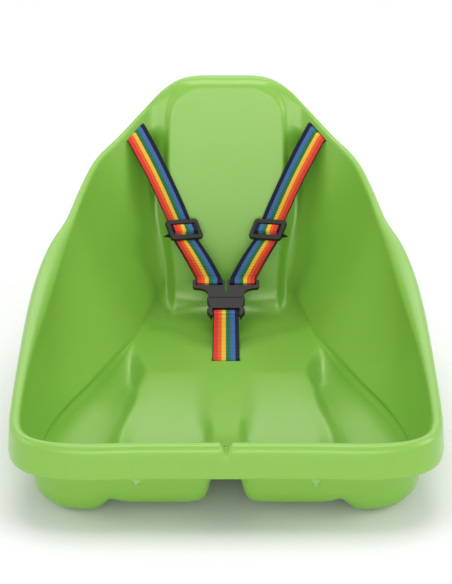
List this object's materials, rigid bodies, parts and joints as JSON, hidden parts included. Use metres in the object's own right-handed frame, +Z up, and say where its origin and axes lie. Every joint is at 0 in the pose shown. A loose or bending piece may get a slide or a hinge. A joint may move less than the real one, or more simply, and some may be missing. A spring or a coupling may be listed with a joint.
{
  "type": "baby pull sled",
  "caption": "Moulded green baby sled with a high back, striped three-strap harness and plug buckle, drawn by a tow rope.",
  "frame": {"origin": "on the ground, under the middle of the sled's bounding box", "axes": "+Z up, +Y towards the back rest, -Y towards the front lip, +X to the rider's left"},
  "size_m": [0.4136, 0.6213, 0.2819],
  "materials": {
    "shell_plastic": "glossy moulded polyethylene",
    "buckle_plastic": "satin charcoal",
    "webbing": "woven, striped red, orange, yellow, green, blue and navy",
    "stop_plastic": "satin"
  },
  "bodies": {
    "sled": {"sled_shell": "shell_plastic", "buckle_housing": "buckle_plastic", "crotch_strap": "webbing", "left_shoulder_strap": "webbing", "right_shoulder_strap": "webbing", "left_strap_stop": "stop_plastic", "right_strap_stop": "stop_plastic", "crotch_strap_stop": "stop_plastic"},
    "left_tongue": {"left_buckle_tongue": "buckle_plastic"},
    "right_tongue": {"right_buckle_tongue": "buckle_plastic"},
    "left_prong": {"left_release_prong": "buckle_plastic"},
    "right_prong": {"right_release_prong": "buckle_plastic"},
    "left_adjuster": {"left_adjuster": "buckle_plastic"},
    "right_adjuster": {"right_adjuster": "buckle_plastic"}
  },
  "joints": [
    {"name": "left_tongue_slide", "type": "slide", "parent": "sled", "child": "left_tongue", "axis": [0, 0.829, 0.5592], "range_m": [0, 0.025], "deforming": ["left_shoulder_strap", "left_release_prong"]},
    {"name": "right_tongue_slide", "type": "slide", "parent": "sled", "child": "right_tongue", "axis": [0, 0.829, 0.5592], "range_m": [0, 0.025], "deforming": ["right_shoulder_strap", "right_release_prong"]},
    {"name": "left_release", "type": "hinge", "parent": "left_tongue", "child": "left_prong", "pos_m": [-0.0176, 0.2056, 0.04305], "axis": [0, -0.5592, 0.829], "range_deg": [0, 12], "stiffness_Nm_per_rad": 0.01},
    {"name": "right_release", "type": "hinge", "parent": "right_tongue", "child": "right_prong", "pos_m": [0.0176, 0.2056, 0.04305], "axis": [0, 0.5592, -0.829], "range_deg": [0, 12], "stiffness_Nm_per_rad": 0.01},
    {"name": "left_adjuster_slide", "type": "slide", "parent": "sled", "child": "left_adjuster", "axis": [-0.4491, 0.264, 0.8536], "range_m": [-0.02, 0.03], "deforming": ["left_shoulder_strap"]},
    {"name": "right_adjuster_slide", "type": "slide", "parent": "sled", "child": "right_adjuster", "axis": [0.4491, 0.264, 0.8536], "range_m": [-0.02, 0.03], "deforming": ["right_shoulder_strap"]}
  ]
}
